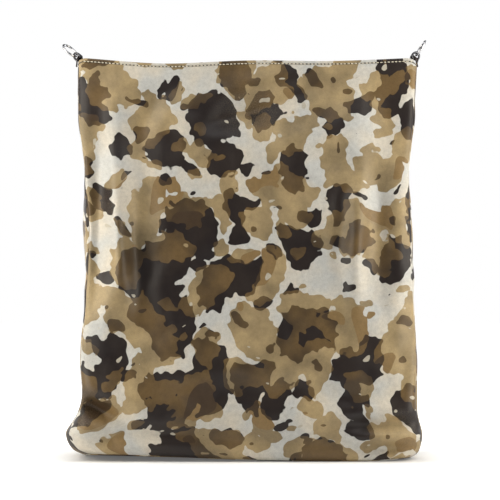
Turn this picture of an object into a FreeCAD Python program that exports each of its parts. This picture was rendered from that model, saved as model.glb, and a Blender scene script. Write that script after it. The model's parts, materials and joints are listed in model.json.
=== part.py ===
import FreeCAD, Part

import math
import os

from FreeCAD import Placement, Rotation, Vector

# A soft shoulder pouch that stands on its base. Millimetres.
# +X is the bag's right as you face its front, +Y points to its back, +Z up.
# The origin is the middle of the base, on the floor.

# ---- Overall sizes -------------------------------------------------------
height = 400.0              # floor to the top edge
mouth_width = 342.0         # over the side pieces, at the top edge
waist_width = 328.0         # at the narrowest, about halfway up
shoulder_width = 336.0      # just above the base bulge
bulge_width = 358.0         # where the base corners push out
foot_width = 334.0          # on the floor
mouth_depth = 26.0          # front seam to back seam, at the top edge
foot_depth = 92.0
bulge_depth = 104.0
lower_depth = 94.0          # just above the base bulge
quarter_depth = 76.0
waist_depth = 56.0
upper_depth = 38.0

# ---- Heights of the cross-sections ---------------------------------------
bulge_height = 24.0
lower_height = 60.0
quarter_height = 130.0
waist_height = 216.0
upper_drop = 100.0          # upper section, below the top edge
neck_drop = 46.0            # upright from here to the top edge
section_steps = 3           # smoothed sections between two of the heights above

# ---- How far each face stands out of the flat between its seams -----------
foot_crown = 1.0
bulge_crown = 2.0
lower_crown = 6.0
quarter_crown = 9.0
waist_crown = 9.0
upper_crown = 5.0
mouth_crown = 1.0
side_crown = 0.3            # side pieces are close to flat
side_waist_crown = 2.0

# ---- Sheet thicknesses and the ease between layers ------------------------
shell_wall = 1.4
lining_wall = 0.6
facing_wall = 1.2
layer_ease = 0.3            # air between one layer and the next
board_wall = 2.0
board_inset = 5.0
facing_height = 32.0

# ---- Topstitch -------------------------------------------------------------
stitch_drop = 4.0           # below the top edge
stitch_width = 0.7
stitch_stand = 0.35         # how far the thread stands off the leather
stitch_gap = 0.05           # air under the thread
stitch_inset = 4.0          # row ends short of each seam

# ---- Magnetic snap ----------------------------------------------------------
snap_radius = 8.5
snap_height = 2.2
snap_drop = 18.0            # centre below the top edge
snap_shank_radius = 2.0
snap_stud_radius = 3.0
snap_stud_height = 1.2
snap_recess_depth = 1.4
snap_fit = 0.3              # stud in its recess, at the side

# ---- Strap tabs and their rivets ---------------------------------------------
tab_wall = 1.3
tab_width = 6.0
tab_drop = 16.0             # legs reach this far below the top edge
loop_rise = 3.7             # leg tops to the middle of the loop
loop_out = {"left": 0.3, "right": -0.3}     # the loop's middle from the legs' middle, outwards
loop_wall = 1.1
neck_width = 2.8            # where the two legs meet under the loop
neck_taper = 0.5            # the neck's foot is narrower than the legs by this on each edge
loop_fit = 0.3              # round the ring's bar
rivet_drop = 10.0
rivet_radius = 1.1
rivet_head_radius = 2.3
rivet_head_wall = 0.8
rivet_fit = 0.05

# ---- Rings ---------------------------------------------------------------------
d_wire = 1.1                # radius of the D-ring's wire
d_half_width = 4.6          # to the middle of the wire
d_reach = 6.8               # bar to the far arc, middle to middle
d_corner = 1.3
ring_wire = 1.2
ring_radius = 8.3           # to the middle of the wire
link_gap = 0.4              # between the two wires where they hook
ring_lean = {"left": 50.0, "right": 33.0}   # D-ring and ring lean out from upright
d_turn = {"left": -41.0, "right": -52.0}    # about the leaning line, from square across the bag
ring_turn = {"left": 111.0, "right": 94.0}  # about the leaning line, from face-on

FULL_TURN = 360.0
SIDES = {"left": -1, "right": 1}
FACES = {"front": -1, "back": 1}


# ---- Cross-sections -------------------------------------------------------------
def stations():
    """Height, half width, half depth at the seams, crown of the faces, crown of the sides."""
    quarter_width = (shoulder_width + waist_width) / 2
    return [
        (0.0, foot_width / 2, foot_depth / 2, foot_crown, side_crown),
        (bulge_height, bulge_width / 2, bulge_depth / 2, bulge_crown, side_crown),
        (lower_height, shoulder_width / 2, lower_depth / 2, lower_crown, side_waist_crown),
        (quarter_height, quarter_width / 2, quarter_depth / 2, quarter_crown, side_waist_crown),
        (waist_height, waist_width / 2, waist_depth / 2, waist_crown, side_waist_crown),
        (height - upper_drop, waist_width / 2, upper_depth / 2, upper_crown, side_waist_crown),
        (height - neck_drop, mouth_width / 2, mouth_depth / 2, mouth_crown, side_crown),
        (height, mouth_width / 2, mouth_depth / 2, mouth_crown, side_crown),
    ]


def slopes(rows, column):
    """A slope at each station that never lets the curve overshoot its neighbours."""
    rises = [
        (high[column] - low[column]) / (high[0] - low[0])
        for low, high in zip(rows, rows[1:])
    ]
    inner = [2 * a * b / (a + b) if a * b > 0 else 0.0 for a, b in zip(rises, rises[1:])]
    return [rises[0]] + inner + [rises[-1]]


def smooth_sections():
    """The stations, with smoothed sections between them."""
    rows = stations()
    columns = range(1, len(rows[0]))
    slope_sets = [slopes(rows, column) for column in columns]
    result = []
    for index, (low, high) in enumerate(zip(rows, rows[1:])):
        span = high[0] - low[0]
        for step in range(section_steps):
            t = step / section_steps
            section = [low[0] + span * t]
            for column, slope in zip(columns, slope_sets):
                rest = 1 - t
                value = rest * rest * (1 + 2 * t) * low[column] + t * t * (3 - 2 * t) * high[column]
                lift = span * t * rest * (rest * slope[index] - t * slope[index + 1])
                section.append(value + lift)
            result.append(section)
    result.append(list(rows[-1]))
    return result


SECTIONS = smooth_sections()


def section_at(z):
    """The cross-section at one height, straight between the smoothed ones."""
    for low, high in zip(SECTIONS, SECTIONS[1:]):
        if z <= high[0]:
            share = (z - low[0]) / (high[0] - low[0])
            return [a + (b - a) * share for a, b in zip(low, high)]
    return SECTIONS[-1]


def heights_between(bottom, top):
    inner = [row[0] for row in SECTIONS if bottom < row[0] < top]
    return [bottom] + inner + [top]


def band_wire(first, middle, last, first_in, middle_in, last_in):
    """A closed outline: an outer arc, an inner arc, and the two mitred ends."""
    outer = Part.Arc(first, middle, last).toShape()
    inner = Part.Arc(last_in, middle_in, first_in).toShape()
    start = Part.makeLine(first_in, first)
    end = Part.makeLine(last, last_in)
    return Part.Wire([outer, end, inner, start])


def face_wire(z, face, offset, wall, trim):
    """Section of a front or back layer; trim shortens it at both seams."""
    _, half_width, half_depth, crown, _ = section_at(z)
    points = []
    for inset in (offset, offset + wall):
        reach = half_width - inset
        side = reach - trim
        depth = half_depth - inset
        end_depth = depth + crown * (1 - (side / reach) ** 2)
        points.append((
            Vector(-side, face * end_depth, z),
            Vector(0, face * (depth + crown), z),
            Vector(side, face * end_depth, z),
        ))
    return band_wire(*points[0], *points[1])


def side_wire(z, side, offset, wall):
    """Section of a left or right layer."""
    _, half_width, half_depth, _, crown = section_at(z)
    points = []
    for inset in (offset, offset + wall):
        depth = half_depth - inset
        reach = half_width - inset
        points.append((
            Vector(side * reach, -depth, z),
            Vector(side * (reach + crown), 0, z),
            Vector(side * reach, depth, z),
        ))
    return band_wire(*points[0], *points[1])


def face_layer(face, offset, wall, bottom, top, trim=0.0):
    wires = [face_wire(z, face, offset, wall, trim) for z in heights_between(bottom, top)]
    return Part.makeLoft(wires, True, True)


def side_layer(side, offset, wall, bottom, top):
    wires = [side_wire(z, side, offset, wall) for z in heights_between(bottom, top)]
    return Part.makeLoft(wires, True, True)


def plate(z, wall, inset):
    """A flat plate that follows the base outline, drawn in by inset."""
    _, half_width, half_depth, _, _ = section_at(z)
    x = half_width - inset
    y = half_depth - inset
    return Part.makeBox(2 * x, 2 * y, wall, Vector(-x, -y, z))


# ---- Places that several pieces share ----------------------------------------------
lining_offset = shell_wall + layer_ease
board_bottom = shell_wall
lining_bottom = board_bottom + board_wall + layer_ease
facing_bottom = height - facing_height
snap_z = height - snap_drop
rivet_z = height - rivet_drop
leg_outer_x = mouth_width / 2 + side_crown + layer_ease
leg_inner_x = mouth_width / 2 - lining_offset - facing_wall - layer_ease
leg_middle_x = (leg_outer_x + leg_inner_x) / 2
leg_half_gap = (leg_outer_x - leg_inner_x) / 2
leg_half_span = leg_half_gap + tab_wall
leg_top = height + layer_ease
loop_hole_radius = d_wire + loop_fit
loop_radius = loop_hole_radius + loop_wall
loop_x = {name: leg_middle_x + out for name, out in loop_out.items()}
loop_z = leg_top + loop_rise


# ---- Shell, board, lining and facing -------------------------------------------------
def make_shell():
    parts = {}
    for name, face in FACES.items():
        parts[name + "_panel"] = face_layer(face, 0.0, shell_wall, 0.0, height)
    for name, side in SIDES.items():
        panel = side_layer(side, 0.0, shell_wall, 0.0, height)
        parts[name + "_gusset"] = panel.cut(rivet_hole(side))
    parts["base_panel"] = plate(0.0, shell_wall, lining_offset)
    parts["base_board"] = plate(board_bottom, board_wall, shell_wall + board_inset)
    return parts


def make_lining():
    parts = {}
    top = facing_bottom - layer_ease
    for name, face in FACES.items():
        parts[name + "_lining"] = face_layer(face, lining_offset, lining_wall, lining_bottom, top)
    for name, side in SIDES.items():
        parts[name + "_lining"] = side_layer(side, lining_offset, lining_wall, lining_bottom, top)
    floor_inset = lining_offset + lining_wall + layer_ease
    parts["base_lining"] = plate(lining_bottom, lining_wall, floor_inset)
    return parts


def make_facing():
    parts = {}
    for name, face in FACES.items():
        band = face_layer(face, lining_offset, facing_wall, facing_bottom, height)
        parts[name + "_facing"] = band.cut(snap_shank_hole(face))
    for name, side in SIDES.items():
        band = side_layer(side, lining_offset, facing_wall, facing_bottom, height)
        parts[name + "_facing"] = band.cut(rivet_hole(side))
    return parts


def make_topstitch():
    parts = {}
    bottom = height - stitch_drop - stitch_width / 2
    for name, face in FACES.items():
        offset = -stitch_gap - stitch_stand
        row = face_layer(face, offset, stitch_stand, bottom, bottom + stitch_width, stitch_inset)
        parts[name + "_topstitch"] = row
    return parts


# ---- Magnetic snap -------------------------------------------------------------------------
def snap_seat(face):
    """Where the snap's middle meets the inner face of its facing."""
    _, _, half_depth, crown, _ = section_at(snap_z)
    return face * (half_depth + crown - lining_offset - facing_wall - layer_ease)


def snap_disc(face, radius, start, wall):
    """A disc on the snap's axis; start counts inwards from the facing."""
    return Part.makeCylinder(radius, wall, Vector(0, snap_seat(face) - face * start, snap_z), Vector(0, -face, 0))


def snap_shank_hole(face):
    reach = facing_wall + 2 * layer_ease
    return snap_disc(face, snap_shank_radius + snap_fit, -reach, 2 * reach)


def snap_half(face):
    """The body inside the mouth and its shank through the facing."""
    body = snap_disc(face, snap_radius, 0.0, snap_height)
    shank_length = facing_wall + layer_ease
    shank = snap_disc(face, snap_shank_radius, -shank_length, shank_length)
    return body.fuse(shank).removeSplitter()


def make_snap():
    stud = snap_disc(FACES["back"], snap_stud_radius, snap_height, snap_stud_height)
    recess = snap_disc(
        FACES["front"], snap_stud_radius + snap_fit, snap_height - snap_recess_depth, snap_recess_depth
    )
    return {
        "snap_stud": snap_half(FACES["back"]).fuse(stud).removeSplitter(),
        "snap_socket": snap_half(FACES["front"]).cut(recess),
    }


# ---- Strap tabs, rivets and rings -----------------------------------------------------------
def lean(shape, name, turn):
    """Turn a shape about its upright line at the origin, lean it out, and put it at the loop."""
    side = SIDES[name]
    leaned = Rotation(Vector(0, 1, 0), side * ring_lean[name])
    turned = Rotation(Vector(0, 0, 1), side * turn)
    place = Placement(Vector(side * loop_x[name], 0, loop_z), leaned.multiply(turned))
    shape.Placement = place.multiply(shape.Placement)
    return shape


def along_x(radius, side, start, end):
    """A round bar at the rivet's height, from start to end outwards."""
    return Part.makeCylinder(radius, end - start, Vector(side * start, 0, rivet_z), Vector(side, 0, 0))


def rivet_hole(side):
    return along_x(rivet_radius + rivet_fit, side, leg_middle_x - 2 * leg_half_span, leg_middle_x + 2 * leg_half_span)


def rectangle(half_x, half_y, z):
    corners = [(-half_x, -half_y), (half_x, -half_y), (half_x, half_y), (-half_x, half_y)]
    points = [Vector(x, y, z) for x, y in corners]
    return Part.makePolygon(points + points[:1])


def strap_tab(name, side):
    """A strip folded round the D-ring's bar, pressed together, with a leg on each face of the side piece."""
    half_width = tab_width / 2
    leg_bottom = height - tab_drop
    legs = [
        Part.makeBox(
            tab_wall,
            tab_width,
            leg_top - leg_bottom,
            Vector(side * leg_middle_x + start, -half_width, leg_bottom),
        )
        for start in (-leg_half_span, leg_half_gap)
    ]
    base = rectangle(leg_half_span, half_width - neck_taper, 0)
    base.translate(Vector(side * leg_middle_x, 0, leg_top))
    top = rectangle(loop_wall * 0.8, neck_width / 2, 0)
    top.translate(Vector(side * loop_x[name], 0, loop_z))
    neck = Part.makeLoft([base, top], True, True)
    centre = Vector(0, -half_width, 0)
    loop = lean(Part.makeCylinder(loop_radius, tab_width, centre, Vector(0, 1, 0)), name, d_turn[name])
    hole_start = Vector(0, -tab_width, 0)
    hole = Part.makeCylinder(loop_hole_radius, 2 * tab_width, hole_start, Vector(0, 1, 0))
    hole = lean(hole, name, d_turn[name])
    return neck.fuse(legs + [loop]).cut([hole, rivet_hole(side)]).removeSplitter()


def tab_rivet(side):
    """A shank with a thin flat head on each leg."""
    inner = leg_middle_x - leg_half_span
    outer = leg_middle_x + leg_half_span
    shank = along_x(rivet_radius, side, inner, outer)
    inner_head = along_x(rivet_head_radius, side, inner - rivet_head_wall, inner)
    outer_head = along_x(rivet_head_radius, side, outer, outer + rivet_head_wall)
    return shank.fuse([inner_head, outer_head]).removeSplitter()


def d_ring(name):
    """Drawn upright in the YZ plane: bar along Y through the origin, arc above it."""
    half = d_half_width
    shoulder = d_reach - half
    slant = d_corner * (1 - math.sqrt(0.5))
    low_left = Vector(0, -half, d_corner)
    low_right = Vector(0, half, d_corner)
    bar_start = Vector(0, -half + d_corner, 0)
    bar_end = Vector(0, half - d_corner, 0)
    edges = [
        Part.makeLine(bar_start, bar_end),
        Part.Arc(bar_end, Vector(0, half - slant, slant), low_right).toShape(),
        Part.makeLine(low_right, Vector(0, half, shoulder)),
        Part.Arc(Vector(0, half, shoulder), Vector(0, 0, d_reach), Vector(0, -half, shoulder)).toShape(),
        Part.makeLine(Vector(0, -half, shoulder), low_left),
        Part.Arc(low_left, Vector(0, -half + slant, slant), bar_start).toShape(),
    ]
    profile = Part.Wire(Part.makeCircle(d_wire, bar_start, Vector(0, 1, 0)))
    skin = Part.Wire(edges).makePipeShell([profile], True, True)
    return lean(Part.makeSolid(Part.Shell(skin.Faces)), name, d_turn[name])


def strap_ring(name):
    """A round ring hooked inside the D-ring's far arc."""
    middle = d_reach - d_wire - ring_wire - link_gap + ring_radius
    torus = Part.makeTorus(ring_radius, ring_wire, Vector(0, 0, 0), Vector(0, 1, 0), 0, FULL_TURN, FULL_TURN)
    torus.translate(Vector(0, 0, middle))
    return lean(torus, name, ring_turn[name])


def make_strap_ends():
    parts = {}
    for name, side in SIDES.items():
        parts[name + "_tab"] = strap_tab(name, side)
        parts[name + "_tab_rivet"] = tab_rivet(side)
        parts[name + "_d_ring"] = d_ring(name)
        parts[name + "_ring"] = strap_ring(name)
    return parts


# ---- Build ------------------------------------------------------------------------------------------
def main():
    os.makedirs("parts", exist_ok=True)
    parts = {}
    for maker in (make_shell, make_lining, make_facing, make_topstitch, make_snap, make_strap_ends):
        parts.update(maker())
    for name, shape in parts.items():
        shape.exportStep("parts/" + name + ".step")
        print(name, len(shape.Solids), round(shape.Volume, 1), shape.isValid())


main()
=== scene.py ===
import json
import math
import random

import bmesh
import bpy
from mathutils import Matrix, Vector, noise
from mathutils.bvhtree import BVHTree


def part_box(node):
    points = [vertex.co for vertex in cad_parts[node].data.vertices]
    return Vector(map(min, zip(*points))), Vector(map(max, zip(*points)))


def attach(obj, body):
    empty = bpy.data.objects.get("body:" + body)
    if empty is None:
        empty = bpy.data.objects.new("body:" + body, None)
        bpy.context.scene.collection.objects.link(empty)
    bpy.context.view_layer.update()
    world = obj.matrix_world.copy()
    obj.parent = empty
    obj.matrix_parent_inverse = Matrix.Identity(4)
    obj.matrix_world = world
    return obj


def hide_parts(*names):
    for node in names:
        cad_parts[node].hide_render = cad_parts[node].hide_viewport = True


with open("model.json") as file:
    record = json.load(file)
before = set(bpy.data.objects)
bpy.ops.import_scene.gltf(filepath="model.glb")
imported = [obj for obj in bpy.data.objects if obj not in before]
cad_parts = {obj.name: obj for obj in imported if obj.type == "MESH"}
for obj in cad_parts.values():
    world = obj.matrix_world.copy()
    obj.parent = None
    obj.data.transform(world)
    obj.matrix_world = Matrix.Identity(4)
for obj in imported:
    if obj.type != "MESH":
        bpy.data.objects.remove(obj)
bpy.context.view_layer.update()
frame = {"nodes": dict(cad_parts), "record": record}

MM = 0.001

# ---------------------------------------------------------------------------
# Sizes, in millimetres
# ---------------------------------------------------------------------------
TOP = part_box("front_panel")[1][2] / MM      # floor to the top edge
GRID = 4.0                  # spacing of the shell's mesh
LEATHER = 1.4
HEM_RADIUS = 1.2            # the top edge is turned over this
HEM_DROP = 9.0              # and reaches this far down inside
FACING_DROP = 32.0
FACING_INSET = 2.0
FACING_WALL = 1.2
FACING_GAP = 8.0            # the facing starts this far under the top edge, behind the hem
LINING_INSET = 2.6
LINING_WALL = 0.6
LINING_GAP = 0.3            # below the facing
LINING_FOOT = 5.0           # the wall linings start this high
BASE_REST = 0.1             # height of the base's underside
BOARD_HEIGHT = 1.6
BOARD_WALL = 2.0
BOARD_INSET = 12.0
BASE_LINING_HEIGHT = 3.8
BASE_LINING_INSET = 2.5
SEAM_WIDTH = 3.0            # the leather dives into each side seam over this
SEAM_DEPTH = 0.8
STITCH_DROP = 3.4
STITCH_PITCH = 3.7
STITCH_LENGTH = 2.7
STITCH_RADIUS = 0.55
STITCH_HALF_ROW = 165.0
STITCH_RISE = 0.35          # a stitch's middle is this share of its radius above the leather
STITCH_SEEDS = {-1: 7, 1: 8}
FOLD_GAIN = 1.25            # the settling takes some of each fold back
SETTLE_FRAMES = 18
SETTLE_CAP = 4.5            # no point moves further than this as the leather settles
RIPPLE_BROAD = 3.0
RIPPLE_FINE = 2.6
SIDE_CALM = 0.6             # the gussets ripple this much of what the faces do
BACK_WEAR = 0.6             # and the back is crackled this much of what the front is
FOOT_REACH = 48.0           # the lift of the base's corners fades out this far up
TOP_REACH = 110.0           # the top line's rises fade out this far down
BACK_LOSS = 0.75            # share of each rise that the back doesn't have
CORNER_DIP = 5.0
LEFT_CURL = 6.5             # how far the base's front corners lift
RIGHT_CURL = 2.5
PRINT_SCALE = 1.13          # the camouflage is drawn this much finer than its screens' own sizes
FRONT_PRINT = (2.84, 0.61, 0.0)     # where on the skin's endless pattern each lies, in metres
SIDE_PRINT = (1.3, 0.4, 0.0)

# half widths and half depths, taken from the construction
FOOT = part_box("base_panel")[1][0] / MM + LEATHER
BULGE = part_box("front_panel")[1][0] / MM
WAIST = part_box("right_gusset")[0][0] / MM + LEATHER
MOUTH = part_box("right_facing")[1][0] / MM + LEATHER
FOOT_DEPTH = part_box("base_panel")[1][1] / MM
BULGE_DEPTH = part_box("right_gusset")[1][1] / MM
MOUTH_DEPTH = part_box("right_facing")[1][1] / MM + LEATHER
BULGE_HEIGHT = 26.0
NECK_HEIGHT = 350.0         # the front and back taper together up to here


def half_depth(z):
    """A straight taper from the bulge to the neck."""
    share = max((NECK_HEIGHT - z) / (NECK_HEIGHT - BULGE_HEIGHT), 0.0)
    return MOUTH_DEPTH + (BULGE_DEPTH - MOUTH_DEPTH) * share


# height, left edge, right edge, half depth, corner radius, face crown, left crown, right crown.
# The soft sides stand a few millimetres off the construction's, and not alike.
FOOT_SECTION = (0.0, 3.0 - FOOT, FOOT - 1.0, FOOT_DEPTH, 30.0, 1.0, 0.0, 0.0)
SECTIONS = (
    (BULGE_HEIGHT, -BULGE - 3.0, BULGE - 3.0, half_depth(BULGE_HEIGHT), 24.0, 3.0, -1.0, -1.0),
    (58.0, -WAIST - 2.0, WAIST + 5.0, half_depth(58.0), 7.0, 6.5, -3.0, -2.5),
    (100.0, -WAIST - 3.0, WAIST + 6.0, half_depth(100.0), 5.0, 8.5, -1.5, -2.0),
    (165.0, -WAIST + 2.0, WAIST + 3.0, half_depth(165.0), 4.0, 9.0, 0.0, -2.0),
    (235.0, -WAIST - 2.0, WAIST + 2.0, half_depth(235.0), 4.0, 8.5, 6.5, -2.0),
    (290.0, -WAIST, WAIST, half_depth(290.0), 4.0, 5.5, -2.0, -4.0),
    (340.0, -MOUTH, MOUTH - 2.0, half_depth(340.0), 4.0, 2.0, -2.5, -2.0),
    (TOP, -MOUTH, MOUTH + 1.0, MOUTH_DEPTH, 2.5, 1.0, -0.3, -0.3),
)
WRAP = 80.0                 # degrees of each corner that the front and back panels cover

# along the top edge: place from left to right, and how far it rises or dips
TOP_LINE = ((-MOUTH, 3.0), (-MOUTH / 2, -3.0), (0.0, 0.0), (MOUTH / 2, -0.5), (MOUTH, 2.8))

# soft dents and ridges in the front: x, height, half width, half height, tilt in degrees,
# depth (above 0 stands out)
FRONT_FORMS = (
    (-127.0, 240.0, 9.0, 62.0, 2.0, 10.0),
    (-149.0, 252.0, 7.0, 52.0, 0.0, -5.0),
    (-124.0, 206.0, 6.0, 26.0, 8.0, 4.0),
    (-113.0, 208.0, 5.5, 24.0, 8.0, -6.0),
    (-104.0, 240.0, 12.0, 60.0, 5.0, -6.0),
    (-138.0, 150.0, 9.0, 34.0, -8.0, 4.0),
    (-112.0, 128.0, 13.0, 36.0, -10.0, -3.5),
    (109.0, 220.0, 8.0, 50.0, -3.0, 8.5),
    (92.0, 220.0, 10.0, 46.0, -4.0, -4.5),
    (132.0, 234.0, 10.0, 48.0, 0.0, -4.5),
    (150.0, 210.0, 7.0, 60.0, 0.0, 3.5),
    (128.0, 130.0, 14.0, 26.0, 12.0, 3.5),
    (10.0, 354.0, 42.0, 8.0, 20.0, -6.5),
    (2.0, 374.0, 50.0, 9.0, 14.0, 3.0),
    (-58.0, 336.0, 44.0, 13.0, -16.0, 4.5),
    (84.0, 332.0, 40.0, 13.0, 14.0, 4.5),
    (-20.0, 306.0, 60.0, 16.0, 12.0, 3.0),
    (-98.0, 352.0, 10.0, 24.0, -30.0, -4.5),
    (-140.0, 356.0, 16.0, 20.0, 10.0, 3.0),
    (140.0, 350.0, 12.0, 26.0, 16.0, -3.5),
    (0.0, 205.0, 62.0, 60.0, 0.0, -6.0),
    (-40.0, 90.0, 60.0, 14.0, 8.0, 3.0),
    (50.0, 68.0, 60.0, 12.0, -6.0, -3.0),
    (140.0, 12.0, 26.0, 4.5, -2.0, -8.0),
    (136.0, 24.0, 30.0, 5.0, 0.0, 4.5),
    (132.0, 37.0, 30.0, 5.0, 2.0, -7.0),
    (120.0, 50.0, 36.0, 7.0, 3.0, 3.5),
    (-148.0, 51.0, 20.0, 4.6, -28.0, -12.0),
    (-140.0, 70.0, 26.0, 8.0, -20.0, 4.0),
    (-158.0, 32.0, 14.0, 10.0, 0.0, 6.0),
    (-140.0, 28.0, 5.0, 14.0, 18.0, -5.0),
    (-120.0, 36.0, 9.0, 12.0, 20.0, -3.5),
    (-90.0, 26.0, 44.0, 5.5, 4.0, -4.0),
    (30.0, 20.0, 90.0, 5.5, 0.0, -3.0),
)

# where the leather is bent hard enough for its finish to crackle: x, height, reach
CRACKLED = (
    (-158.0, 36.0, 24.0),
    (-128.0, 250.0, 26.0),
    (150.0, 26.0, 22.0),
    (-166.0, 58.0, 12.0),
    (5.0, 352.0, 30.0),
)


# ---------------------------------------------------------------------------
# Small helpers
# ---------------------------------------------------------------------------
def smooth_lookup(rows, key):
    """Values between listed rows, on a curve with a continuous slope."""
    last = len(rows) - 2
    index = 0
    while index < last and key > rows[index + 1][0]:
        index += 1
    low, high = rows[index], rows[index + 1]
    before = rows[max(index - 1, 0)]
    after = rows[min(index + 2, last + 1)]
    span = high[0] - low[0]
    t = min(max((key - low[0]) / span, 0.0), 1.0)
    result = []
    for a, b, c, d in zip(before[1:], low[1:], high[1:], after[1:]):
        start = (c - a) / max(high[0] - before[0], span) * span
        end = (d - b) / max(after[0] - low[0], span) * span
        rest = 1 - t
        value = b * rest * rest * (1 + 2 * t) + c * t * t * (3 - 2 * t)
        result.append(value + t * rest * (rest * start - t * end))
    return result


def fade(value, low, high):
    """0 below low, 1 above high, smooth between."""
    t = min(max((value - low) / (high - low), 0.0), 1.0)
    return t * t * (3 - 2 * t)


def new_object(name, bm):
    mesh = bpy.data.meshes.new(name)
    bm.to_mesh(mesh)
    bm.free()
    made = bpy.data.objects.new(name, mesh)
    bpy.context.scene.collection.objects.link(made)
    return made


def shade_smooth(piece):
    for polygon in piece.data.polygons:
        polygon.use_smooth = True


def give(piece, material):
    piece.data.materials.clear()
    piece.data.materials.append(material)


# ---------------------------------------------------------------------------
# Materials
# ---------------------------------------------------------------------------
def colour(code, alpha=1.0):
    """An sRGB hex colour, as the linear numbers that shaders use."""
    result = []
    for start in (0, 2, 4):
        value = int(code[start:start + 2], 16) / 255
        result.append(value / 12.92 if value <= 0.04045 else ((value + 0.055) / 1.055) ** 2.4)
    return (*result, alpha)


def add(tree, kind, inputs=None, **settings):
    """Adds one node. An input's value is a number or colour, or a socket to link from."""
    made = tree.nodes.new(kind)
    for name, value in settings.items():
        setattr(made, name, value)
    for name, value in (inputs or {}).items():
        if isinstance(value, bpy.types.NodeSocket):
            tree.links.new(value, made.inputs[name])
        else:
            made.inputs[name].default_value = value
    return made


def new_material(name):
    """A bare node tree with a Principled shader on its output."""
    material = bpy.data.materials.new(name)
    material.use_nodes = True
    tree = material.node_tree
    tree.nodes.clear()
    shader = add(tree, "ShaderNodeBsdfPrincipled")
    add(tree, "ShaderNodeOutputMaterial", {"Surface": shader.outputs[0]})
    return material, tree, shader


def maths(tree, operation, first, second=0.0, third=0.0, clamp=False):
    made = add(tree, "ShaderNodeMath", {0: first, 1: second, 2: third}, operation=operation, use_clamp=clamp)
    return made.outputs[0]


def blend_colours(tree, share, first, second):
    made = add(tree, "ShaderNodeMix", {0: share, 6: first, 7: second}, data_type="RGBA", blend_type="MIX")
    return made.outputs[2]


def cloudy(tree, vector, size_mm, detail, roughness=0.5, dimensions="2D"):
    """A noise whose largest forms are about size_mm across."""
    inputs = {"Vector": vector, "Scale": 1 / (size_mm * MM), "Detail": detail, "Roughness": roughness}
    return add(tree, "ShaderNodeTexNoise", inputs, noise_dimensions=dimensions)


def cell_edges(tree, vector, size_mm, dimensions="2D"):
    """How far each point is from the edge of its cell, as a share of the cell."""
    made = add(
        tree,
        "ShaderNodeTexVoronoi",
        {"Vector": vector, "Scale": 1 / (size_mm * MM)},
        voronoi_dimensions=dimensions,
        feature="DISTANCE_TO_EDGE",
    )
    return made.outputs["Distance"]


def blobs(tree, place, cell_mm, least, most, turn, stretch, shift):
    """Round and oval patches, one to a cell. Above 0 inside, in metres from the edge."""
    moved = add(
        tree,
        "ShaderNodeMapping",
        {
            "Vector": place,
            "Location": shift,
            "Rotation": (0.0, 0.0, math.radians(turn)),
            "Scale": (1.0, stretch, 1.0),
        },
    ).outputs[0]
    cells = add(
        tree,
        "ShaderNodeTexVoronoi",
        {"Vector": moved, "Scale": 1 / (cell_mm * MM), "Randomness": 1.0, "Smoothness": 0.25},
        voronoi_dimensions="2D",
        feature="SMOOTH_F1",
    )
    pick = add(tree, "ShaderNodeSeparateColor", {0: cells.outputs["Color"]}).outputs[0]
    radius = maths(tree, "MULTIPLY_ADD", pick, most - least, least)
    inside = maths(tree, "SUBTRACT", radius, cells.outputs["Distance"])
    return maths(tree, "MULTIPLY", inside, cell_mm * MM)


def ink(tree, place, patches, ragged):
    """One screen of the print, from several sizes of patch with lobed edges. 1 inside, 0 outside."""
    field = None
    for patch in patches:
        made = blobs(tree, place, *patch)
        field = made if field is None else maths(tree, "MAXIMUM", field, made)
    field = maths(tree, "ADD", field, ragged)
    ramp = add(
        tree,
        "ShaderNodeMapRange",
        {"Value": field, "From Min": -0.25 * MM, "From Max": 0.25 * MM},
    )
    return ramp.outputs[0]


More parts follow.
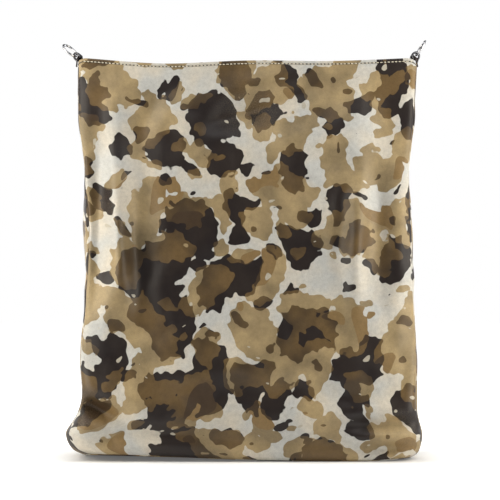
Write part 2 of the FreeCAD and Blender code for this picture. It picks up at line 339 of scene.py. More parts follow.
def printed_leather(name, shift):
    """Calf leather screen-printed with two inks in camouflage, under a satin top coat.
    The eye sees bare off-white, a tan, a near-black, and brown where the tan lies over the black,
    with a fine grain, soft shine and paler crackle where the leather bends hard."""
    material, tree, shader = new_material(name)
    flat = add(tree, "ShaderNodeUVMap", uv_map="flat").outputs[0]
    finer = (PRINT_SCALE, PRINT_SCALE, 1.0)
    flat = add(
        tree,
        "ShaderNodeVectorMath",
        {0: flat, 1: finer, 2: shift},
        operation="MULTIPLY_ADD",
    ).outputs[0]

    def wobble(vector, size_mm, reach_mm, detail=1.0):
        """Moves the pattern about, so that its edges aren't too round."""
        moved = cloudy(tree, vector, size_mm, detail).outputs["Color"]
        centred = add(tree, "ShaderNodeVectorMath", {0: moved, 1: (0.5, 0.5, 0.5)}, operation="SUBTRACT")
        scaled = add(
            tree,
            "ShaderNodeVectorMath",
            {0: centred.outputs[0], "Scale": reach_mm * MM},
            operation="SCALE",
        )
        result = add(tree, "ShaderNodeVectorMath", {0: vector, 1: scaled.outputs[0]}, operation="ADD")
        return result.outputs[0]

    def lobes(offset):
        """Lets the edge of a patch swell and draw in, a few millimetres at a time."""
        moved = add(tree, "ShaderNodeVectorMath", {0: flat, 1: offset}, operation="ADD").outputs[0]
        made = cloudy(tree, moved, 10.0, 0.6, 0.4).outputs[0]
        return maths(tree, "MULTIPLY_ADD", made, 11 * MM, -5.5 * MM)

    place = wobble(wobble(flat, 54.0, 32.0, 0.0), 16.0, 8.0, 0.6)
    tan = ink(tree, place, (
        (50.0, 0.23, 0.54, 40.0, 0.78, (0.0, 0.0, 0.0)),
        (40.0, 0.08, 0.45, -32.0, 1.2, (2.3, 0.7, 0.0)),
    ), lobes((0.0, 0.0, 0.0)))
    dark = ink(tree, place, (
        (54.0, 0.22, 0.53, 55.0, 0.76, (5.1, 3.3, 0.0)),
        (38.0, -0.02, 0.36, -48.0, 1.25, (7.9, 1.1, 0.0)),
    ), lobes((3.1, 1.7, 0.0)))
    second = ink(tree, place, ((75.0, 0.0, 0.32, 40.0, 1.2, (9.7, 6.1, 0.0)),), 0.0)
    bare = ink(tree, place, ((30.0, -0.4, 0.11, -20.0, 1.7, (4.4, 8.2, 0.0)),), lobes((6.1, 4.7, 0.0)))

    drift = cloudy(tree, flat, 42.0, 2.0).outputs[0]
    drift = add(tree, "ShaderNodeMapRange", {"Value": drift, "From Min": 0.35, "From Max": 0.65}).outputs[0]
    bare_skin = blend_colours(tree, drift, colour("c7c7c3"), colour("d6cebf"))
    tan_ink = blend_colours(tree, drift, colour("8c7b5c"), colour("b09a72"))
    black_ink = blend_colours(tree, drift, colour("1e1514"), colour("29201c"))
    both_inks = blend_colours(tree, drift, colour("483926"), colour("6d5736"))
    ground = blend_colours(tree, tan, bare_skin, tan_ink)
    twice = maths(tree, "MULTIPLY", tan, second)
    ground = blend_colours(tree, twice, ground, colour("8b724b"))
    inks = blend_colours(tree, tan, black_ink, both_inks)
    inks = blend_colours(tree, twice, inks, colour("443423"))
    printed = blend_colours(tree, dark, ground, inks)
    printed = blend_colours(tree, bare, printed, colour("bdb6a6"))

    mottle = cloudy(tree, flat, 4.5, 5.0, 0.65).outputs[0]
    speck = cloudy(tree, flat, 0.9, 2.0, 0.7).outputs[0]
    tone = maths(tree, "MULTIPLY_ADD", mottle, 0.44, 0.58)
    tone = maths(tree, "MULTIPLY_ADD", speck, 0.40, tone)
    toned = add(tree, "ShaderNodeVectorMath", {0: printed, "Scale": tone}, operation="SCALE").outputs[0]

    grain = cell_edges(tree, flat, 1.0)
    bent = add(tree, "ShaderNodeAttribute", attribute_name="crackle").outputs["Fac"]
    cracks = cell_edges(tree, wobble(flat, 4.0, 5.0, 4.0), 2.2)
    crack = add(tree, "ShaderNodeMapRange", {"Value": cracks, "From Min": 0.10, "From Max": 0.0}).outputs[0]
    crack = maths(tree, "MULTIPLY", crack, bent)
    crackle_and_seam_shade = blend_colours(tree, maths(tree, "MULTIPLY", crack, 0.16), toned, colour("c9b48c"))
    # Painted shade: a dark line at the stitch row's height stands in for the shadow in the seam's indentation
    # under the stitches. It is darkened into the base colour on top of the paler crackle.
    on_skin = add(tree, "ShaderNodeUVMap", uv_map="flat").outputs[0]
    height = add(tree, "ShaderNodeSeparateXYZ", {0: on_skin}).outputs[1]
    above_line = maths(tree, "SUBTRACT", height, (TOP + HEM_RADIUS - STITCH_DROP) * MM)
    from_line = maths(tree, "ABSOLUTE", above_line)
    painted_seam_shade = add(
        tree,
        "ShaderNodeMapRange",
        {"Value": from_line, "From Min": 0.95 * MM, "From Max": 0.5 * MM},
    ).outputs[0]
    crackle_and_seam_shade = blend_colours(tree, maths(tree, "MULTIPLY", painted_seam_shade, 0.85), crackle_and_seam_shade, colour("1d1814"))
    relief = maths(tree, "MULTIPLY_ADD", maths(tree, "MINIMUM", grain, 0.25), 0.6, mottle)
    relief = maths(tree, "MULTIPLY_ADD", crack, -0.5, relief)
    bump = add(tree, "ShaderNodeBump", {"Strength": 0.35, "Distance": 0.35 * MM, "Height": relief})
    wear = maths(tree, "MULTIPLY_ADD", mottle, 0.18, 0.36)
    tree.links.new(crackle_and_seam_shade, shader.inputs["Base Color"])
    tree.links.new(wear, shader.inputs["Roughness"])
    tree.links.new(bump.outputs[0], shader.inputs["Normal"])
    shader.inputs["IOR"].default_value = 1.5
    shader.inputs["Specular IOR Level"].default_value = 0.45
    return material


def plain_leather(name, code, roughness, size_mm):
    """Dyed, finished leather: close grain, dull shine."""
    material, tree, shader = new_material(name)
    place = add(tree, "ShaderNodeTexCoord").outputs["Object"]
    pores = cell_edges(tree, place, size_mm, dimensions="3D")
    tone = cloudy(tree, place, 14.0, 4.0, dimensions="3D").outputs[0]
    base = colour(code)
    darker = tuple(channel * 0.6 for channel in base[:3]) + (1.0,)
    tree.links.new(blend_colours(tree, tone, darker, base), shader.inputs["Base Color"])
    bump = add(tree, "ShaderNodeBump", {"Strength": 0.35, "Distance": 0.3 * MM, "Height": pores})
    tree.links.new(bump.outputs[0], shader.inputs["Normal"])
    shader.inputs["Roughness"].default_value = roughness
    return material


def twill_lining(name, code):
    """Woven cotton twill: fine slanting ribs, no shine."""
    material, tree, shader = new_material(name)
    flat = add(tree, "ShaderNodeUVMap", uv_map="flat").outputs[0]
    ribs = add(
        tree,
        "ShaderNodeTexWave",
        {"Vector": flat, "Scale": 1 / (1.6 * MM) / 6.3, "Distortion": 0.6, "Detail": 1.0},
        bands_direction="DIAGONAL",
    ).outputs[1]
    base = colour(code)
    darker = tuple(channel * 0.55 for channel in base[:3]) + (1.0,)
    tree.links.new(blend_colours(tree, ribs, darker, base), shader.inputs["Base Color"])
    bump = add(tree, "ShaderNodeBump", {"Strength": 0.4, "Distance": 0.2 * MM, "Height": ribs})
    tree.links.new(bump.outputs[0], shader.inputs["Normal"])
    shader.inputs["Roughness"].default_value = 0.85
    shader.inputs["Sheen Weight"].default_value = 0.15
    return material


def waxed_thread(name, code):
    """Waxed polyester thread: pale, with a twist too fine to see as more than a ripple."""
    material, tree, shader = new_material(name)
    place = add(tree, "ShaderNodeTexCoord").outputs["Object"]
    twist = add(
        tree,
        "ShaderNodeTexWave",
        {"Vector": place, "Scale": 1 / (0.7 * MM) / 6.3, "Distortion": 1.0},
        bands_direction="DIAGONAL",
    ).outputs[1]
    base = colour(code)
    darker = tuple(channel * 0.7 for channel in base[:3]) + (1.0,)
    tree.links.new(blend_colours(tree, twist, darker, base), shader.inputs["Base Color"])
    bump = add(tree, "ShaderNodeBump", {"Strength": 0.5, "Distance": 0.1 * MM, "Height": twist})
    tree.links.new(bump.outputs[0], shader.inputs["Normal"])
    shader.inputs["Roughness"].default_value = 0.55
    return material


def plated_metal(name, code, roughness):
    """Cast, polished and plated: mirror-like, with faint rubbing marks."""
    material, tree, shader = new_material(name)
    place = add(tree, "ShaderNodeTexCoord").outputs["Object"]
    rub = cloudy(tree, place, 1.5, 5.0, dimensions="3D").outputs[0]
    tree.links.new(maths(tree, "MULTIPLY_ADD", rub, 0.12, roughness), shader.inputs["Roughness"])
    shader.inputs["Base Color"].default_value = colour(code)
    shader.inputs["Metallic"].default_value = 1.0
    return material


def pressed_board(name, code):
    """Pressed fibre board: dull, flecked."""
    material, tree, shader = new_material(name)
    place = add(tree, "ShaderNodeTexCoord").outputs["Object"]
    flecks = cloudy(tree, place, 3.0, 6.0, dimensions="3D").outputs[0]
    base = colour(code)
    lighter = tuple(min(channel * 2.0, 1.0) for channel in base[:3]) + (1.0,)
    tree.links.new(blend_colours(tree, flecks, base, lighter), shader.inputs["Base Color"])
    shader.inputs["Roughness"].default_value = 0.9
    return material


# ---------------------------------------------------------------------------
# The soft shell
# ---------------------------------------------------------------------------
PANELS = ("front", "right", "back", "left")
CUT_FROM = {"front": 0.0, "right": 4.3, "back": 1.9, "left": 3.1}     # where along the skin, in metres
FLAT_WIDTHS = {"front": 340.0, "right": 70.0, "back": 340.0, "left": 70.0}


def top_shift(x, y, z):
    """The top edge rises and dips, and the leather below follows it. The back stays clear of the rings."""
    rise = smooth_lookup(TOP_LINE, x)[0] * fade(z, TOP - TOP_REACH, TOP)
    if rise > 0:
        rise *= 1 - BACK_LOSS * fade(y, -8.0, 8.0)
    past_corner = max((abs(x) - 163.5) / 8.0, 0.0)
    return rise - CORNER_DIP * past_corner**2 * fade(z, TOP - 30, TOP)


def section_at(z):
    """The shell's cross-section at one height. Its foot rounds in to the floor on a quarter ellipse."""
    if z > BULGE_HEIGHT:
        return smooth_lookup(SECTIONS, z)
    share = math.sqrt(1 - (1 - z / BULGE_HEIGHT) ** 2)
    return [low + (high - low) * share for low, high in zip(FOOT_SECTION[1:], SECTIONS[0][1:])]


def section_point(panel, share, z):
    """A point of the shell's outer skin. share runs -1 to 1 across the panel, seam to seam."""
    left, right, depth, radius, face_crown, left_crown, right_crown = section_at(z)
    left += max(left_crown, 0.0)
    right -= max(right_crown, 0.0)
    half_width = (right - left) / 2
    middle = (right + left) / 2
    across = panel in ("front", "back")
    half = half_width if across else depth
    other = depth if across else half_width
    crown = {"left": left_crown, "right": right_crown}.get(panel, face_crown)
    turn = math.radians(WRAP if across else 90.0 - WRAP)
    straight = half - radius
    total = straight + radius * turn
    along = share * total
    over = max(abs(along) - straight, 0.0) / radius
    run = math.copysign(min(abs(along), straight) + radius * math.sin(over), along)
    out = other - radius + radius * math.cos(over) + crown * (1 - abs(share) ** (3 if across else 2))
    to_seam = (1 - abs(share)) * total
    dive = SEAM_DEPTH * fade(SEAM_WIDTH - to_seam, 0.0, SEAM_WIDTH)
    run -= math.copysign(dive * math.sin(turn), along)
    out -= dive * math.cos(turn)
    if panel == "front":
        x, y = run, -out
    elif panel == "back":
        x, y = -run, out
    elif panel == "right":
        x, y = out, run
    else:
        x, y = -out, -run
    return middle + x, y


def front_form(x, z):
    """How far the front stands out of its plain curve, from its dents and ridges."""
    total = 0.0
    for cx, cz, wide, tall, tilt, depth in FRONT_FORMS:
        turn = math.radians(tilt)
        dx = (x - cx) * math.cos(turn) + (z - cz) * math.sin(turn)
        dz = (z - cz) * math.cos(turn) - (x - cx) * math.sin(turn)
        total += FOLD_GAIN * depth * math.exp(-0.5 * ((dx / wide) ** 2 + (dz / tall) ** 2))
    return total


def foot_lift(x, y):
    """How far the base is off the floor: its front corners curl up, the left one more."""
    curl = LEFT_CURL * fade(-x, -60.0, 160.0) + RIGHT_CURL * fade(x, 110.0, 172.0)
    return curl * min(max((17.0 - y) / 60.0, 0.0), 1.0)


def shell_point(panel, share, z):
    """The section's point with its folds and ripples, on the lifted foot and the uneven top edge."""
    x, y = section_point(panel, share, z)
    inside = fade(1 - abs(share), 0.0, 0.08)
    if panel == "front":
        y -= front_form(x, z) * inside
    elif panel == "back":
        y += front_form(-x * 0.9, z * 0.97 + 8) * inside
    loose = fade(z, 4.0, 40.0) * (1 - fade(z, TOP - 30, TOP)) * inside
    ripple = noise.noise(Vector((x * 0.013, y * 0.02 + 4.0, z * 0.011))) * RIPPLE_BROAD
    ripple += noise.noise(Vector((x * 0.052, y * 0.05 + 9.0, z * 0.038))) * RIPPLE_FINE
    if panel in ("front", "back"):
        y += math.copysign(ripple * loose, y)
    else:
        x += math.copysign(ripple * loose * SIDE_CALM, x)
    lift = foot_lift(x, y) * (1 - fade(z, 0.0, FOOT_REACH))
    return Vector((x, y, z + lift + top_shift(x, y, z)))


def crackle_at(x, z):
    return min(sum(math.exp(-((x - cx) ** 2 + (z - cz) ** 2) / reach**2) for cx, cz, reach in CRACKLED), 1.0)


def panel_grid(bm, panel, flat):
    """One wall of the shell, with its size when flat kept as a UV map in metres."""
    width = FLAT_WIDTHS[panel]
    columns = int(width / GRID)
    rows = int(TOP / GRID)
    made = bmesh.ops.create_grid(bm, x_segments=columns, y_segments=rows, size=1.0)["verts"]
    places = {vert: (vert.co.x, (vert.co.y + 1) / 2 * TOP) for vert in made}
    for face in {face for vert in made for face in vert.link_faces}:
        face.material_index = PANELS.index(panel)
        for loop in face.loops:
            share, z = places[loop.vert]
            loop[flat].uv = (share * width / 2 * MM + CUT_FROM[panel], z * MM)
    crackle = bm.verts.layers.float["crackle"]
    row = bm.verts.layers.float["row"]
    for vert, (share, z) in places.items():
        vert[row] = z
        point = shell_point(panel, share, z)
        vert[crackle] = crackle_at(point.x, z) if point.y < 0 else crackle_at(-point.x, z) * BACK_WEAR
        vert.co = point * MM
    return made


def build_shell():
    bm = bmesh.new()
    flat = bm.loops.layers.uv.new("flat")
    bm.verts.layers.float.new("crackle")
    bm.verts.layers.float.new("row")
    for panel in PANELS:
        panel_grid(bm, panel, flat)
    bmesh.ops.remove_doubles(bm, verts=bm.verts, dist=0.05 * MM)
    bmesh.ops.recalc_face_normals(bm, faces=bm.faces)
    return new_object("shell", bm)


def relax(shell):
    """Lets the leather find its own soft folds: cloth a little larger than its space, held at both ends."""
    start = [vert.co.copy() for vert in shell.data.vertices]
    held = shell.vertex_groups.new(name="held")
    rows = shell.data.attributes["row"].data
    for vert in shell.data.vertices:
        z = rows[vert.index].value
        weight = max(fade(z, TOP - 26, TOP - 8), 1 - fade(z, 2.0, 14.0))
        if weight > 0:
            held.add([vert.index], weight, "REPLACE")
    cloth = shell.modifiers.new("cloth", "CLOTH")
    settings = cloth.settings
    settings.quality = 6
    settings.mass = 0.6
    settings.tension_stiffness = 40
    settings.compression_stiffness = 40
    settings.shear_stiffness = 20
    settings.bending_stiffness = 4
    settings.air_damping = 6
    settings.vertex_group_mass = "held"
    settings.shrink_min = -0.02
    settings.use_pressure = True
    settings.uniform_pressure_force = 0.6
    settings.effector_weights.gravity = 0.6
    cloth.collision_settings.use_collision = False
    cloth.point_cache.frame_end = SETTLE_FRAMES
    scene = bpy.context.scene
    for step in range(1, SETTLE_FRAMES + 1):
        scene.frame_set(step)
    graph = bpy.context.evaluated_depsgraph_get()
    settled = shell.evaluated_get(graph).data
    moved = [vert.co.copy() for vert in settled.vertices]
    shell.modifiers.remove(cloth)
    for vert, before, after in zip(shell.data.vertices, start, moved):
        step = after - before
        if step.length > SETTLE_CAP * MM:
            step *= SETTLE_CAP * MM / step.length
        vert.co = before + step
    scene.frame_set(1)


def wall_piece(name, shell, panel, low, high, inset, thickness, material, replaces, hem=False):
    """One wall cut out of the shell, moved in by inset and given its thickness."""
    bm = bmesh.new()
    bm.from_mesh(shell.data)
    bm.normal_update()
    number = PANELS.index(panel)
    for vert in bm.verts:
        vert.co -= vert.normal * inset * MM
    doomed = [face for face in bm.faces if face.material_index != number]
    bmesh.ops.delete(bm, geom=doomed, context="FACES")
    for height, side in ((low, False), (high, True)):
        if height is not None:
            bmesh.ops.bisect_plane(
                bm,
                geom=bm.verts[:] + bm.edges[:] + bm.faces[:],
                plane_co=(0, 0, height * MM),
                plane_no=(0, 0, 1 if side else -1),
                clear_outer=True,
            )
    if hem:
        turn_hem(bm, panel)
    for face in bm.faces:
        face.material_index = 0
    piece = new_object(name, bm)
    shade_smooth(piece)
    wall = piece.modifiers.new("wall", "SOLIDIFY")
    wall.thickness = thickness * MM
    wall.offset = -1.0
    wall.use_even_offset = False
    smooth = piece.modifiers.new("smooth", "SUBSURF")
    smooth.levels = 1
    smooth.render_levels = 1
    give(piece, material)
    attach(piece, "bag")
    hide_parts(*replaces)
    return piece


def turn_hem(bm, panel):
    """The top edge is turned over and down inside, in a few extruded steps."""
    inward = {"front": (0, 1, 0), "back": (0, -1, 0), "left": (1, 0, 0), "right": (-1, 0, 0)}[panel]
    inward = Vector(inward)
    upper = (TOP - 12) * MM
    flat = bm.loops.layers.uv["flat"]
    edges = [
        edge for edge in bm.edges
        if edge.is_boundary and all(vert.co.z > upper for vert in edge.verts)
        and abs(edge.verts[0].co.z - edge.verts[1].co.z) < 2.0 * MM
    ]
    turns = 4
    for step in range(1, turns + 2):
        made = bmesh.ops.extrude_edge_only(bm, edges=edges)["geom"]
        edges = [item for item in made if isinstance(item, bmesh.types.BMEdge)]
        verts = [item for item in made if isinstance(item, bmesh.types.BMVert)]
        if step <= turns:
            a = math.pi * (step - 1) / turns
            b = math.pi * step / turns
            move = inward * (math.cos(a) - math.cos(b)) + Vector((0, 0, math.sin(b) - math.sin(a)))
            move *= HEM_RADIUS * MM
        else:
            move = Vector((0, 0, -HEM_DROP * MM))
        bmesh.ops.translate(bm, verts=verts, vec=move)
        for vert in verts:
            for loop in vert.link_loops:
                loop[flat].uv.y += move.length
    bmesh.ops.recalc_face_normals(bm, faces=bm.faces)


def base_piece(name, shell, height, inset, thickness, material, replaces):
    """A flat sheet inside the shell's lowest edge, in rings so that it bends a little."""
    bm = bmesh.new()
    bm.from_mesh(shell.data)
    flat = bm.loops.layers.uv["flat"]
    rim = {vert for edge in bm.edges if edge.is_boundary for vert in edge.verts if vert.co.z < 12 * MM}
    bmesh.ops.delete(bm, geom=[vert for vert in bm.verts if vert not in rim], context="VERTS")
    bmesh.ops.delete(bm, geom=bm.faces[:], context="FACES_ONLY")
    faces = bmesh.ops.contextual_create(bm, geom=bm.edges[:])["faces"]
    if inset > 0:
        ring = bmesh.ops.inset_region(bm, faces=faces, thickness=inset * MM, use_even_offset=True)["faces"]
        bmesh.ops.delete(bm, geom=ring, context="FACES")
        loose = [vert for vert in bm.verts if not vert.link_faces]
        bmesh.ops.delete(bm, geom=loose, context="VERTS")
    for step in (3.0, 6.0, 12.0, 12.0 - inset * 0.6):
        bmesh.ops.inset_region(bm, faces=faces, thickness=step * MM, use_even_offset=True)
    for vert in bm.verts:
        vert.co.z = (foot_lift(vert.co.x / MM, vert.co.y / MM) + height) * MM
    for face in bm.faces:
        face.material_index = 0
        if face.normal.z > 0:
            face.normal_flip()
        for corner in face.loops:
            corner[flat].uv = (corner.vert.co.x, corner.vert.co.y - 0.08)
    piece = new_object(name, bm)
    wall = piece.modifiers.new("wall", "SOLIDIFY")
    wall.thickness = thickness * MM
    wall.offset = -1.0
    edge = piece.modifiers.new("edge", "BEVEL")
    edge.width = thickness * 0.3 * MM
    edge.segments = 2
    edge.limit_method = "ANGLE"
    give(piece, material)
    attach(piece, "bag")
    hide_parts(*replaces)
    return piece


# ---------------------------------------------------------------------------
# Ring tabs
# ---------------------------------------------------------------------------
TAB_FOOT = (167.2, 384.0)   # distance from the middle, and height, of the inner leg's foot
TAB_BEND = (167.2, 399.0)   # the inner leg leaves the facing here for the bar
TAB_TIP = (172.8, 395.5)    # the short outer leg ends here
TAB_TURN = 1.95             # radius of the turn over the ring's bar, to the middle of the strip
TAB_WIDTH = 6.0
TAB_WALL = 1.2
TAB_BEND_SHARE = 0.45       # shares of the strip's length at which it bends, and starts and ends its turn
TAB_TURN_SHARE = 0.58
TAB_DOWN_SHARE = 0.86
TAB_TWIST = (398.5, 403.5)  # between these heights the strip twists square to the bar
RIVET_PLACE = (166.7, 390.0)    # distance from the middle, and height
RIVET_PROFILE = ((2.3, 0.0), (2.3, 0.25), (1.9, 0.6), (1.0, 0.78), (0.0, 0.82))     # radius, rise


def tab_line(share, bar_x, bar_z):
    """The strip's middle line: up the inner leg, half round the ring's bar, down the short outer leg."""
    turned = (share - TAB_TURN_SHARE) / (TAB_DOWN_SHARE - TAB_TURN_SHARE)
    turn = math.pi * min(max(turned, 0.0), 1.0)
    x = bar_x - TAB_TURN * math.cos(turn)
    z = bar_z + TAB_TURN * math.sin(turn)
    if share < TAB_TURN_SHARE:
        return smooth_lookup(((0.0, *TAB_FOOT), (TAB_BEND_SHARE, *TAB_BEND), (TAB_TURN_SHARE, x, z)), share)
    if share > TAB_DOWN_SHARE:
        return smooth_lookup(((TAB_DOWN_SHARE, x, z), (1.0, *TAB_TIP)), share)
    return x, z


def ring_tab(side, material, metal):
    """A narrow strip of folded leather that holds the D-ring, and the flat rivet through it."""
    way = -1 if side == "left" else 1
    swing = next(j for j in frame["record"]["behaviour"]["joints"] if j["name"] == side + "_d_ring_swing")
    bar = Vector(swing["axis"]).normalized()
    if bar.y < 0:
        bar = -bar
    bar_x = abs(swing["pos_m"][0]) / MM
    bar_z = swing["pos_m"][2] / MM
    bm = bmesh.new()
    made = bmesh.ops.create_grid(bm, x_segments=32, y_segments=5, size=1.0)["verts"]
    for vert in made:
        x, z = tab_line((vert.co.x + 1) / 2, bar_x, bar_z)
        at_loop = fade(z, *TAB_TWIST)
        wide = Vector((0, 1, 0)).lerp(bar, at_loop) * vert.co.y * TAB_WIDTH / 2
        vert.co = (Vector((way * x, 0, z)) + wide) * MM
    bmesh.ops.recalc_face_normals(bm, faces=bm.faces)
    tab = new_object(side + "_tab_strip", bm)
    shade_smooth(tab)
    wall = tab.modifiers.new("wall", "SOLIDIFY")
    wall.thickness = TAB_WALL * MM
    wall.offset = 0.0
    edge = tab.modifiers.new("edge", "BEVEL")
    edge.width = 0.3 * MM
    edge.segments = 2
    edge.limit_method = "ANGLE"
    give(tab, material)
    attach(tab, "bag")
    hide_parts(side + "_tab")

    bm = bmesh.new()
    rim = [bm.verts.new((0.0, radius * MM, rise * MM)) for radius, rise in RIVET_PROFILE]
    line = [bm.edges.new(pair) for pair in zip(rim, rim[1:])]
    bmesh.ops.spin(
        bm, geom=rim + line, cent=(0, 0, 0), axis=(0, 0, 1), angle=math.tau, steps=24, use_merge=True,
    )
    bmesh.ops.remove_doubles(bm, verts=bm.verts, dist=0.001 * MM)
    turn = Matrix.Rotation(-way * math.pi / 2, 4, "Y")
    from_middle, height = RIVET_PLACE
    place = Matrix.Translation((way * from_middle * MM, 0, height * MM))
    bmesh.ops.transform(bm, verts=bm.verts, matrix=place @ turn)
    bmesh.ops.recalc_face_normals(bm, faces=bm.faces)
    rivet = new_object(side + "_rivet_head", bm)
    shade_smooth(rivet)
    give(rivet, metal)
    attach(rivet, "bag")
    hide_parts(side + "_tab_rivet")


# ---------------------------------------------------------------------------
# Topstitch
# ---------------------------------------------------------------------------
def stitch_row(name, panel_piece, facing, material, replaces):
    """Single stitches that lie on the leather just below the top edge."""
    graph = bpy.context.evaluated_depsgraph_get()
    tree = BVHTree.FromObject(panel_piece, graph)
    towards = Vector((0, -facing, 0))
    rng = random.Random(STITCH_SEEDS[facing])
    bm = bmesh.new()

    def on_leather(x):
        z = TOP + top_shift(x, facing * 13.0, TOP) + HEM_RADIUS - STITCH_DROP
        origin = Vector((x * MM, facing * 0.3, z * MM))
        place, normal, _, _ = tree.ray_cast(origin, towards)
        return place, normal

    x = -STITCH_HALF_ROW
    while x < STITCH_HALF_ROW:
        start, normal = on_leather(x)
        end, _ = on_leather(x + STITCH_LENGTH)
        if start is not None and end is not None:
            along = (end - start).normalized()
            side = normal.cross(along).normalized()
            middle = (start + end) / 2 + normal * STITCH_RADIUS * STITCH_RISE * MM
            turn = Matrix((along, side, normal)).transposed().to_4x4()
            lean = Matrix.Rotation(rng.uniform(-0.07, 0.02), 4, "Z")
            size = Matrix.Diagonal((STITCH_LENGTH / 2 * MM, STITCH_RADIUS * MM, STITCH_RADIUS * MM, 1.0))
            bmesh.ops.create_uvsphere(
                bm, u_segments=8, v_segments=6, radius=1.0,
                matrix=Matrix.Translation(middle) @ turn @ lean @ size @ Matrix.Rotation(math.pi / 2, 4, "Y"),
            )
        x += STITCH_PITCH + rng.uniform(-0.12, 0.12)
    row = new_object(name, bm)
    shade_smooth(row)
    give(row, material)
    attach(row, "bag")
    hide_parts(*replaces)


# ---------------------------------------------------------------------------
# Stage, light and camera
# ---------------------------------------------------------------------------
CAMERA_DISTANCE = 2.2
CAMERA_HEIGHT = 0.210
VIEW_SIZE = 0.500           # metres across the image, at the bag's front
FOOTPRINT = (0.17, 0.05, 0.0)       # half size of the bag on the floor, in metres
SHADOW_REACH = 0.10         # the floor is fully bright this far from the bag


def white_floor():
    """Seamless paper: white to the camera and in reflections, and it keeps the bag's shadow. Its glow dims
    close to the bag, which paints shade around the footprint on top of the real shadow.
    """
    bm = bmesh.new()
    bmesh.ops.create_grid(bm, x_segments=2, y_segments=2, size=4.0)
    for vert in bm.verts:
        vert.co.z = -0.0002
    floor = new_object("floor", bm)
    material, tree, shader = new_material("paper_seamless")
    shader.inputs["Base Color"].default_value = colour("f4f4f4")
    shader.inputs["Roughness"].default_value = 0.9
    shader.inputs["Specular IOR Level"].default_value = 0.1
    path = add(tree, "ShaderNodeLightPath")
    place = add(tree, "ShaderNodeTexCoord").outputs["Object"]
    beyond = add(tree, "ShaderNodeVectorMath", {0: place}, operation="ABSOLUTE").outputs[0]
    beyond = add(tree, "ShaderNodeVectorMath", {0: beyond, 1: FOOTPRINT}, operation="SUBTRACT").outputs[0]
    nothing = (0.0, 0.0, 0.0)
    beyond = add(tree, "ShaderNodeVectorMath", {0: beyond, 1: nothing}, operation="MAXIMUM").outputs[0]
    away = add(tree, "ShaderNodeVectorMath", {0: beyond}, operation="LENGTH").outputs["Value"]
    # Painted shade: the glow falls from 1.0 far off to 0.12 at the bag's footprint, so the floor darkens
    # around the bag beyond what the lamps' shadow does.
    strength = add(
        tree,
        "ShaderNodeMapRange",
        {"Value": away, "From Max": SHADOW_REACH, "To Min": 0.12, "To Max": 1.0},
    ).outputs[0]
    glow = add(tree, "ShaderNodeEmission", {"Color": (1, 1, 1, 1), "Strength": strength})
    lit = add(tree, "ShaderNodeAddShader", {0: shader.outputs[0], 1: glow.outputs[0]})
    seen = maths(tree, "MULTIPLY_ADD", path.outputs["Is Glossy Ray"], 0.25, path.outputs["Is Camera Ray"])
    mixed = add(tree, "ShaderNodeMixShader", {0: seen, 1: shader.outputs[0], 2: lit.outputs[0]})
    output = next(item for item in tree.nodes if item.type == "OUTPUT_MATERIAL")
    tree.links.new(mixed.outputs[0], output.inputs["Surface"])
    give(floor, material)


def studio_world():
    world = bpy.data.worlds.new("studio")
    bpy.context.scene.world = world
    world.use_nodes = True
    tree = world.node_tree
    tree.nodes.clear()
    path = add(tree, "ShaderNodeLightPath")
    fill = add(tree, "ShaderNodeBackground", {"Color": (0.96, 0.98, 1.0, 1.0), "Strength": 0.08})
    white = add(tree, "ShaderNodeBackground", {"Color": (1.0, 1.0, 1.0, 1.0), "Strength": 1.0})
    mixed = add(
        tree,
        "ShaderNodeMixShader",
        {0: path.outputs["Is Camera Ray"], 1: fill.outputs[0], 2: white.outputs[0]},
    )
    add(tree, "ShaderNodeOutputWorld", {"Surface": mixed.outputs[0]})


def softbox(name, place, target, wide, tall, watts, tint):
    light = bpy.data.lights.new(name, "AREA")
    light.shape = "RECTANGLE"
    light.size = wide
    light.size_y = tall
    light.energy = watts
    light.color = tint
    lamp = bpy.data.objects.new(name, light)
    bpy.context.scene.collection.objects.link(lamp)
    aim = Vector(target) - Vector(place)
    lamp.matrix_world = Matrix.Translation(place) @ aim.to_track_quat("-Z", "Y").to_matrix().to_4x4()


def studio_lights():
    warm = (1.0, 0.95, 0.85)
    clear = (1.0, 1.0, 1.0)
    softbox("softbox_left", (-0.42, -0.17, 0.26), (-0.12, -0.03, 0.2), 0.22, 0.9, 2.4, warm)
    softbox("softbox_right", (0.42, -0.17, 0.26), (0.12, -0.03, 0.2), 0.22, 0.9, 2.3, warm)
    softbox("softbox_above", (0.0, -0.46, 0.90), (0.0, 0.0, 0.36), 0.8, 0.35, 1.5, clear)
    softbox("softbox_top", (0.0, 0.1, 1.6), (0.0, 0.0, 0.2), 1.2, 0.8, 4.0, clear)
    softbox("softbox_back_left", (-0.8, 0.75, 0.5), (0.0, 0.0, 0.2), 0.6, 0.9, 3.6, clear)
    softbox("softbox_back_right", (0.8, 0.75, 0.5), (0.0, 0.0, 0.2), 0.6, 0.9, 3.6, clear)


def set_camera():
    data = bpy.data.cameras.new("camera")
    data.sensor_width = 36.0
    data.lens = data.sensor_width * CAMERA_DISTANCE / VIEW_SIZE
    camera = bpy.data.objects.new("camera", data)
    bpy.context.scene.collection.objects.link(camera)
    place = (0.003, -CAMERA_DISTANCE - 0.03, CAMERA_HEIGHT)
    camera.matrix_world = Matrix.Translation(place) @ Matrix.Rotation(math.pi / 2, 4, "X")
    bpy.context.scene.camera = camera


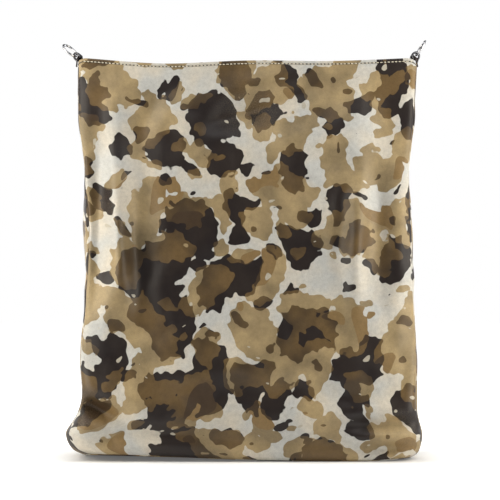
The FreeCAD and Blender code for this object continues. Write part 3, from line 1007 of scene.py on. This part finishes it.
# ---------------------------------------------------------------------------
# Make it
# ---------------------------------------------------------------------------
def main():
    scene = bpy.context.scene
    scene.view_settings.view_transform = "Standard"
    set_camera()
    studio_world()
    studio_lights()
    white_floor()

    camo = printed_leather("printed_calf", FRONT_PRINT)
    camo_side = printed_leather("printed_calf_side", SIDE_PRINT)
    facing_leather = plain_leather("facing_calf", "3a2c22", 0.6, 0.9)
    tab_leather = plain_leather("tab_calf", "2a1d18", 0.42, 0.8)
    lining = twill_lining("cotton_twill", "4a3d30")
    thread = waxed_thread("waxed_thread", "ebe2cc")
    silver = plated_metal("polished_nickel", "cfcfd2", 0.12)
    dark = plated_metal("black_nickel", "5a5a5e", 0.14)
    board = pressed_board("fibre_board", "2c2a28")

    shell = build_shell()
    relax(shell)
    for panel in PANELS:
        along = panel in ("front", "back")
        outer = panel + ("_panel" if along else "_gusset")
        wall_piece(
            outer + "_skin", shell, panel, None, None, 0.0, LEATHER,
            camo if along else camo_side, [outer], hem=True,
        )
        wall_piece(
            panel + "_facing_skin", shell, panel, TOP - FACING_DROP, TOP - FACING_GAP,
            FACING_INSET, FACING_WALL, facing_leather, [panel + "_facing"],
        )
        hung = wall_piece(
            panel + "_lining_skin", shell, panel, LINING_FOOT, TOP - FACING_DROP - LINING_GAP,
            LINING_INSET, LINING_WALL, lining, [panel + "_lining"],
        )
    base_piece("base_skin", shell, BASE_REST, 0.0, LEATHER, camo_side, ["base_panel"])
    base_piece(
        "base_stiffener", shell, BOARD_HEIGHT, BOARD_INSET, BOARD_WALL, board, ["base_board"],
    )
    base_lining = base_piece(
        "base_lining_skin", shell, BASE_LINING_HEIGHT, BASE_LINING_INSET, LINING_WALL,
        lining, ["base_lining"],
    )
    for side in ("left", "right"):
        ring_tab(side, tab_leather, dark)
    for face, way in (("front", -1), ("back", 1)):
        skin = bpy.data.objects[face + "_panel_skin"]
        stitch_row(face + "_stitches", skin, way, thread, [face + "_topstitch"])
    bpy.data.objects.remove(shell)

    for node, material in (
        ("left_d_ring", dark), ("right_d_ring", dark),
        ("left_ring", silver), ("right_ring", silver),
        ("snap_stud", silver), ("snap_socket", silver),
    ):
        give(frame["nodes"][node], material)


main()
